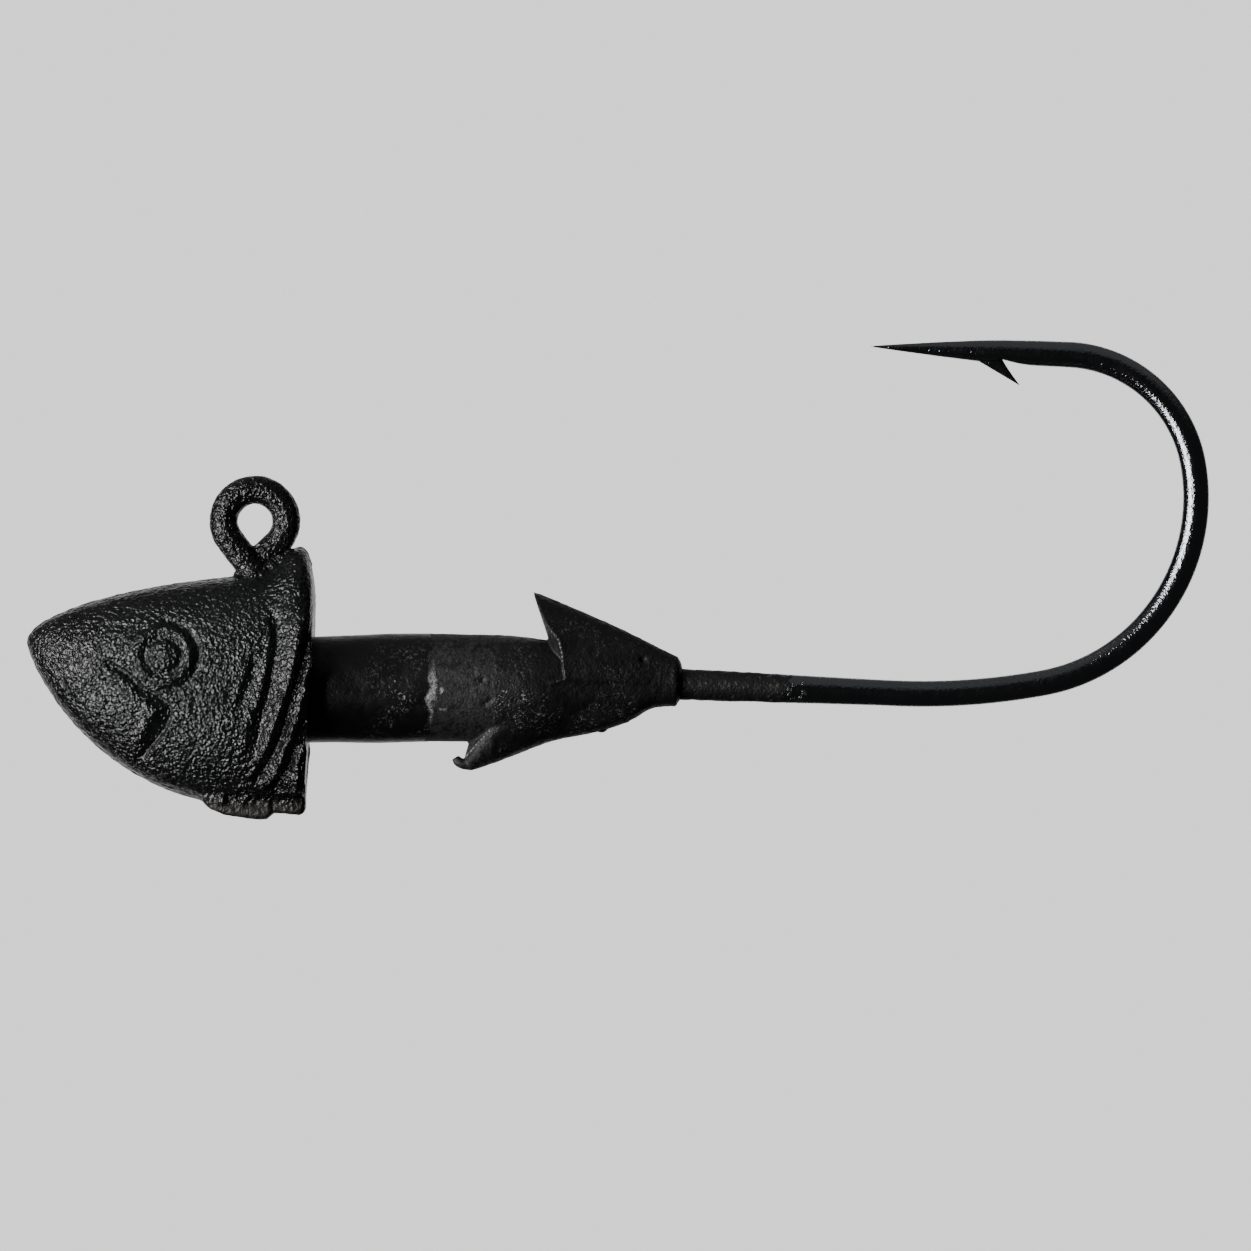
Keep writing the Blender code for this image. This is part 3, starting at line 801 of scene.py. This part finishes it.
def barbed_cone(sides=120, count=70):
    """The cone, whose first rings lean forward above and below into the two barbs, and its rim."""
    angle = np.linspace(0, 2 * math.pi, sides, endpoint=False)
    up = np.maximum(np.sin(angle), 0)
    down = np.maximum(-np.sin(angle), 0)
    lean = np.interp(up, *np.array(BARB_LEAN).T)
    rings = []
    for top, bottom, wide in zip(*(evenly(line, count) for line in (CONE_TOP, CONE_BOTTOM, CONE_WIDTH))):
        x = wide[0] + (top[0] - wide[0]) * lean + (bottom[0] - wide[0]) * down**LOWER_LEAN_POWER
        z = CONE_MIDDLE_Z + (top[1] - CONE_MIDDLE_Z) * up + (bottom[1] - CONE_MIDDLE_Z) * down
        rings.append(np.stack([x, wide[1] * np.cos(angle), z], 1))
    return loft(rings), rings[1]


def bare_and_highlight_edges(places, rim):
    """1 along the barbs' edges, where bare lead and a painted highlight show."""
    rim = rim[(rim[:, 2] > BARE_AND_HIGHLIGHT_EDGE_Z[1]) | (rim[:, 2] < BARE_AND_HIGHLIGHT_EDGE_Z[0])]
    gap = np.full(len(places), 1e9)
    for point in rim:
        gap = np.minimum(gap, ((places - point) ** 2).sum(1))
    return bell(np.sqrt(gap), BARE_AND_HIGHLIGHT_EDGE_R) * (1 - BARE_AND_HIGHLIGHT_FADE * smoothstep(*BARE_AND_HIGHLIGHT_FADE_Z, places[:, 2]))


def keeper_solids():
    cone, rim = barbed_cone()
    solids = [turned(through(CORE, 12), 96), cone]
    nub = through(BARB_NUB, 6)
    for across in BARB_NUB_Y:
        route = np.stack([nub[:, 0], 0 * nub[:, 0], nub[:, 1]], 1)
        verts, faces = sweep(route, np.linspace(*BARB_NUB_R, len(nub)))
        solids.append((verts + (0.0, across, 0.0), faces))
    for drip in DRIPS:
        solids.append(ball(*drip))
    return solids, rim


def keeper_piece(material):
    solids, rim = keeper_solids()
    mesh = fused("keeper", solids, KEEPER_VOXEL)
    places = smoothed(mesh, places_of(mesh), 2)
    normals = normals_of(mesh, places)
    x, _, z = places.T
    lift = paint_skin(places) + ROUGH_HEIGHT * waves(places, 0.28, 12.0) * smoothstep(*ROUGH_X, x)
    lift -= WORN_DEPTH * worn_band(places)
    lift -= KEEPER_PIT_DEPTH * bell(np.hypot(x - KEEPER_PIT[0], z - KEEPER_PIT[1]), KEEPER_PIT_R)
    for pit_x, pit_z in WORN_PITS:
        lift -= WORN_PIT_DEPTH * bell(np.hypot(x - pit_x, z - pit_z), WORN_PIT_R)
    places = places + normals * (lift + 0.02)[:, None]
    add_number(mesh, "worn", worn_band(places))
    add_number(mesh, "bare_and_highlight", bare_and_highlight_edges(places, rim))
    as_piece("keeper_painted", mesh, places, material, "keeper_cone")


# Hook


def hook_route():
    """Centreline from the buried start of the shank to the point."""
    route = [np.array((x, 0.0, SHANK_Z)) for x in np.arange(SHANK_START_X, BEND_START_X, ROUTE_STEP)]
    place, heading = np.array((BEND_START_X, 0.0, SHANK_Z)), 0.0
    for radius, turn in BEND:
        start = math.radians(heading)
        centre = place + radius * np.array((-math.sin(start), 0.0, math.cos(start)))
        count = round(math.radians(turn) * radius / ROUTE_STEP)
        for i in range(1, count + 1):
            angle = math.radians(heading + turn * i / count)
            route.append(centre + radius * np.array((math.sin(angle), 0.0, -math.cos(angle))))
        place, heading = route[-1], heading + turn
    for x in np.arange(place[0] - ROUTE_STEP, POINT_TIP_X, -ROUTE_STEP):
        route.append(np.array((x, 0.0, place[2])))
    route.append(np.array((POINT_TIP_X, 0.0, place[2])))
    return np.array(route)


def hook_piece(material):
    route = hook_route()
    point_z = route[-1][2]
    on_point = (np.abs(route[:, 2] - point_z) < 1e-6) & (route[:, 0] < POINT_TIP_X + POINT_LENGTH)
    radii = np.interp(route[:, 0], *np.array(WIRE_RADII).T)
    radii = np.where(route[:, 2] > SHANK_Z + 0.5, WIRE_R, radii)
    radii = np.where(on_point, np.interp(route[:, 0] - POINT_TIP_X, *np.array(POINT_TAPER).T), radii)
    verts, faces = sweep(route, radii, 40)
    cut_x, cut_z = np.array(BARB_CUT).T
    under = (verts[:, 2] > POINT_LEAST_Z) & (verts[:, 0] > cut_x[0]) & (verts[:, 0] < cut_x[-1])
    verts[under, 2] = np.maximum(verts[under, 2], np.interp(verts[under, 0], cut_x, cut_z))
    mesh = closed_mesh("hook", [(verts, faces)])
    places = places_of(mesh)
    normals = normals_of(mesh, places)
    end = places[:, 0] + PAINTED_RAGGED * waves(places, 0.8, 15.0)
    painted = smoothstep(*PAINTED_X, end) * (places[:, 2] < 0)
    lift = painted * (0.03 * waves(places, 0.5, 16.0) + 0.02 * waves(places, 0.22, 17.0))
    places = places + normals * lift[:, None]
    add_number(mesh, "painted", painted)
    as_piece("hook_plated", mesh, places, material, "hook")


def barb_piece(material):
    """The barb: a sliver cut from the wire and raised, a little hollow along its front edge."""
    top = hook_route()[-1][2] + BARB_TOP
    sides = 24
    angle = np.linspace(0, 2 * math.pi, sides, endpoint=False)
    sections = []
    for t in np.linspace(0, 1, 24):
        front = BARB_ROOT_X[0] + BARB_REACH[0] * t
        back = BARB_ROOT_X[1] + BARB_REACH[1] * t**BARB_BACK_POWER
        half = BARB_HALF_WIDTH * (1 - t) ** 0.8 + 0.02
        x = (front + back) / 2 + (back - front) / 2 * np.cos(angle)
        sections.append(np.stack([x, half * np.sin(angle), np.full(sides, top - BARB_DROP * t)], 1))
    mesh = closed_mesh("barb", [loft(sections)])
    places = places_of(mesh)
    add_number(mesh, "painted", np.zeros(len(places)))
    as_piece("hook_barb", mesh, places, material)


# Materials


def set_range(node, low, high, out_low, out_high):
    for key, number in (("From Min", low), ("From Max", high), ("To Min", out_low), ("To Max", out_high)):
        node.inputs[key].default_value = number


class Nodes:
    """A material's node tree, with short ways to add and link nodes."""

    def __init__(self, name):
        self.material = bpy.data.materials.new(name)
        self.material.use_nodes = True
        self.tree = self.material.node_tree
        self.shader = self.tree.nodes["Principled BSDF"]
        coords = self.add("ShaderNodeTexCoord")
        scale = self.add("ShaderNodeVectorMath", operation="SCALE")
        scale.inputs["Scale"].default_value = 1 / MM
        self.link(coords.outputs["Object"], scale.inputs[0])
        self.place = scale.outputs[0]

    def add(self, kind, **settings):
        node = self.tree.nodes.new(kind)
        for key, value in settings.items():
            setattr(node, key, value)
        return node

    def link(self, source, target):
        self.tree.links.new(source, target)

    def fill(self, socket, value):
        if hasattr(value, "is_output"):
            self.link(value, socket)
        else:
            socket.default_value = value

    def noise(self, size, detail=2.0, roughness=0.5, distortion=0.0, squeeze_x=1.0):
        """Noise from 0 to 1 whose waves are about size millimetres long, or shorter along X."""
        node = self.add("ShaderNodeTexNoise")
        squeezed = self.add("ShaderNodeVectorMath", operation="MULTIPLY")
        squeezed.inputs[1].default_value = (squeeze_x, 1.0, 1.0)
        self.link(self.place, squeezed.inputs[0])
        self.link(squeezed.outputs[0], node.inputs["Vector"])
        node.inputs["Scale"].default_value = 1 / size
        node.inputs["Detail"].default_value = detail
        node.inputs["Roughness"].default_value = roughness
        node.inputs["Distortion"].default_value = distortion
        return node.outputs["Fac"]

    def number(self, name):
        return self.add("ShaderNodeAttribute", attribute_name=name).outputs["Fac"]

    def span(self, value, low, high, out_low=0.0, out_high=1.0):
        """A value from low to high eased over to out_low to out_high."""
        node = self.add("ShaderNodeMapRange", interpolation_type="SMOOTHSTEP")
        self.fill(node.inputs["Value"], value)
        set_range(node, low, high, out_low, out_high)
        return node.outputs["Result"]

    def math(self, operation, a, b=0.0):
        node = self.add("ShaderNodeMath", operation=operation)
        self.fill(node.inputs[0], a)
        self.fill(node.inputs[1], b)
        return node.outputs[0]

    def mix(self, share, a, b):
        """A colour between a and b."""
        node = self.add("ShaderNodeMix", data_type="RGBA")
        self.fill(node.inputs["Factor"], share)
        colour_a = [s for s in node.inputs if s.identifier == "A_Color"][0]
        colour_b = [s for s in node.inputs if s.identifier == "B_Color"][0]
        self.fill(colour_a, a if hasattr(a, "is_output") else (*a, 1.0))
        self.fill(colour_b, b if hasattr(b, "is_output") else (*b, 1.0))
        return [s for s in node.outputs if s.identifier == "Result_Color"][0]

    def blend(self, share, a, b):
        """A number between a and b."""
        node = self.add("ShaderNodeMix", data_type="FLOAT")
        self.fill(node.inputs["Factor"], share)
        self.fill(node.inputs["A"], a)
        self.fill(node.inputs["B"], b)
        return node.outputs["Result"]

    def bump(self, height, depth):
        """Raise the surface by up to depth millimetres."""
        node = self.add("ShaderNodeBump")
        node.inputs["Strength"].default_value = 1.0
        node.inputs["Distance"].default_value = depth * MM
        self.fill(node.inputs["Height"], height)
        return node.outputs["Normal"]

    def finish(self, colour, roughness, normal, metallic=0.0):
        inputs = self.shader.inputs
        self.fill(inputs["Base Color"], colour)
        self.fill(inputs["Roughness"], roughness)
        self.fill(inputs["Normal"], normal)
        self.fill(inputs["Metallic"], metallic)
        return self.material


def powder_coat():
    """Black wrinkled powder coat: fine glossy worms on the shapes that the mesh already has."""
    n = Nodes("powder_coat")
    dull = n.number("dull")
    glossy_tone = n.mix(n.span(n.noise(1.3, 3.0), 0.35, 0.7), *COAT_BLACK)
    dull_tone = n.mix(n.span(n.noise(0.25, 3.0), 0.35, 0.65), *COAT_DULL)
    roughness = n.blend(dull, n.span(n.noise(0.5, 2.0), 0.3, 0.7, 0.14, 0.24), 0.5)
    height = n.math("MULTIPLY", n.noise(COAT_WRINKLE, 1.0, 0.5, 0.6), n.blend(dull, 1.0, 0.55))
    return n.finish(n.mix(dull, glossy_tone, dull_tone), roughness, n.bump(height, COAT_WRINKLE_DEPTH))


def black_paint(name, tone, roughness, smoothness, speck_glints_from):
    """Thin black paint on lead, with a worn grey band, pale bare edges that on the keeper's barbs are also a
    painted highlight, and pale specks painted as glints behind a given X.
    """
    n = Nodes(name)
    paint = n.mix(n.span(n.noise(1.6, 3.0), 0.45, 0.75), tone, tuple(1.6 * t for t in tone))
    worn = n.math("ADD", n.number("worn"), n.span(n.noise(0.16, 2.0), 0.3, 0.7, -0.3, 0.3))
    worn = n.span(worn, 0.4, 0.6)
    worn_tone = n.mix(n.span(n.noise(0.17, 3.0, 0.6, 1.2, 1.5), 0.38, 0.62), *WORN_PAINT)
    worn_tone = n.mix(n.span(n.noise(0.5, 3.0, 0.6, 0.5, 1.0), 0.54, 0.62), worn_tone, WORN_BLOT)
    colour = n.mix(worn, paint, worn_tone)

    separate = n.add("ShaderNodeSeparateXYZ")
    n.link(n.place, separate.inputs[0])
    x, z = separate.outputs["X"], separate.outputs["Z"]
    # Pale specks are painted glints: a lighter colour where raised flecks would catch the light; the same
    # mask also raises them
    speck_glint = n.span(n.noise(0.12, 2.0, 0.55, 1.0), 0.6, 0.65)
    for share in (
        n.span(x, speck_glints_from, speck_glints_from + SPECK_GLINT_RUN),
        n.span(x, *SPECK_GLINT_FADE_X, 1.0, 0.4),
        n.span(n.noise(1.4, 2.0), 0.42, 0.6),
        n.span(worn, 0.0, 1.0, 1.0, 0.0),
        n.span(z, *SPECK_GLINT_FADE_Z, 1.0, 0.35),
    ):
        speck_glint = n.math("MULTIPLY", speck_glint, share)
    colour = n.mix(speck_glint, colour, SPECK_GLINT)

    # Pale edges: bare lead on the collar's worn strip; on the keeper's barb edges, bare lead and a painted
    # highlight
    bare_and_highlight = n.math("MULTIPLY", n.number("bare_and_highlight"), n.noise(0.09, 3.0, 0.7, 1.5, 1.5))
    bare_and_highlight = n.span(bare_and_highlight, 0.36, 0.48)
    colour = n.mix(bare_and_highlight, colour, BARE_LEAD_AND_HIGHLIGHT)
    rough = n.span(n.noise(0.8, 2.0), 0.3, 0.7, roughness - 0.05, roughness + 0.06)
    height = n.math("ADD", n.noise(0.12, 2.0), n.math("MULTIPLY", n.noise(0.4, 2.0), 0.8))
    height = n.math("MULTIPLY", height, n.blend(worn, smoothness, 0.8))
    height = n.math("ADD", height, n.math("ADD", speck_glint, bare_and_highlight))
    return n.finish(colour, n.blend(worn, rough, 0.6), n.bump(height, SKIN_DEPTH))


def black_nickel():
    """Smooth dark plating with fine drawing lines, and the rough paint left on the shank by the keeper."""
    n = Nodes("black_nickel")
    edge = n.span(n.noise(0.35, 3.0), 0.3, 0.7, -0.45, 0.45)
    painted = n.span(n.math("ADD", n.number("painted"), edge), 0.48, 0.56)
    metal = n.mix(n.noise(0.4, 2.0), *BLACK_NICKEL)
    paint = n.mix(n.span(n.noise(0.35, 3.0), 0.6, 0.72), *WIRE_PAINT)
    roughness = n.blend(painted, n.span(n.noise(0.6, 3.0), 0.3, 0.7, 0.12, 0.18), 0.5)
    height = n.math("MULTIPLY", n.noise(0.14, 2.0), n.blend(painted, 0.6, 1.0))
    metallic = n.math("SUBTRACT", 1.0, painted)
    return n.finish(n.mix(painted, metal, paint), roughness, n.bump(height, SKIN_DEPTH), metallic)


# Stage


def add_stage():
    mesh = bpy.data.meshes.new("floor")
    bm = bmesh.new()
    bmesh.ops.create_circle(bm, cap_ends=True, segments=96, radius=FLOOR_R)
    bm.to_mesh(mesh)
    bm.free()
    floor = bpy.data.objects.new("floor", mesh)
    floor.location = (CAMERA_TARGET[0] * MM, 0.0, FLOOR_Z)
    bpy.context.scene.collection.objects.link(floor)
    material = bpy.data.materials.new("pale_floor")
    material.use_nodes = True
    shader = material.node_tree.nodes["Principled BSDF"]
    shader.inputs["Base Color"].default_value = (*FLOOR_COLOUR, 1.0)
    shader.inputs["Roughness"].default_value = 0.9
    mesh.materials.append(material)
    floor.visible_glossy = False
    floor.visible_diffuse = False


def add_world():
    """Pale to the camera; to the object, a bright backdrop behind it and a dim room in front."""
    world = bpy.data.worlds.new("studio")
    world.use_nodes = True
    tree = world.node_tree
    tree.nodes.clear()
    new, link = tree.nodes.new, tree.links.new
    toward = new("ShaderNodeSeparateXYZ")
    link(new("ShaderNodeTexCoord").outputs["Generated"], toward.inputs[0])
    total = new("ShaderNodeMath")
    glows = (("Y", *BACKDROP_Y, ROOM_LIGHT, BACKDROP_LIGHT), ("Z", *OVERHEAD_Z, 0.0, OVERHEAD_LIGHT))
    for term, (axis, *limits) in zip(total.inputs, glows):
        glow = new("ShaderNodeMapRange")
        glow.interpolation_type = "SMOOTHSTEP"
        set_range(glow, *limits)
        link(toward.outputs[axis], glow.inputs["Value"])
        link(glow.outputs["Result"], term)
    lighting, backdrop = new("ShaderNodeBackground"), new("ShaderNodeBackground")
    lighting.inputs["Color"].default_value = (1.0, 1.0, 1.0, 1.0)
    link(total.outputs[0], lighting.inputs["Strength"])
    backdrop.inputs["Color"].default_value = (*BACKDROP_COLOUR, 1.0)
    path, pick, out = new("ShaderNodeLightPath"), new("ShaderNodeMixShader"), new("ShaderNodeOutputWorld")
    link(path.outputs["Is Camera Ray"], pick.inputs[0])
    link(lighting.outputs[0], pick.inputs[1])
    link(backdrop.outputs[0], pick.inputs[2])
    link(pick.outputs[0], out.inputs[0])
    bpy.context.scene.world = world


def add_window():
    """A tall soft light at the front left."""
    light = bpy.data.lights.new("window", "AREA")
    light.shape = "RECTANGLE"
    light.size, light.size_y = WINDOW_SIZE
    light.energy = WINDOW_RADIANCE * math.pi * WINDOW_SIZE[0] * WINDOW_SIZE[1]
    lamp = bpy.data.objects.new("window", light)
    bpy.context.scene.collection.objects.link(lamp)
    angle = math.radians(WINDOW_DEG)
    away = Vector((-math.sin(angle), -math.cos(angle), WINDOW_RISE)).normalized()
    lamp.location = Vector(CAMERA_TARGET) * MM + WINDOW_DISTANCE * away
    lamp.rotation_mode = "QUATERNION"
    lamp.rotation_quaternion = away.to_track_quat("Z", "Y")
    lamp.visible_camera = False


def add_camera():
    data = bpy.data.cameras.new("camera")
    data.sensor_width = SENSOR_WIDTH
    data.lens = data.sensor_width * CAMERA_DISTANCE / FRAME_WIDTH
    data.clip_start, data.clip_end = 0.01, 10.0
    camera = bpy.data.objects.new("camera", data)
    bpy.context.scene.collection.objects.link(camera)
    roll = math.radians(CAMERA_ROLL_DEG)
    right = Vector((math.cos(roll), 0.0, math.sin(roll)))
    up = Vector((-math.sin(roll), 0.0, math.cos(roll)))
    back = Vector((0.0, -1.0, 0.0))
    matrix = Matrix((right, up, back)).transposed().to_4x4()
    matrix.translation = (Vector(CAMERA_TARGET) + CAMERA_DISTANCE * back) * MM
    camera.matrix_world = matrix
    bpy.context.scene.camera = camera


coat = powder_coat()
plating = black_nickel()
head_piece(coat)
line_tie_piece(coat)
collar_piece(black_paint("collar_paint", COLLAR_BLACK, roughness=0.36, smoothness=0.4, speck_glints_from=5.5))
keeper_piece(black_paint("keeper_paint", KEEPER_BLACK, roughness=0.5, smoothness=1.0, speck_glints_from=10.0))
hook_piece(plating)
barb_piece(plating)
add_stage()
add_world()
add_window()
add_camera()
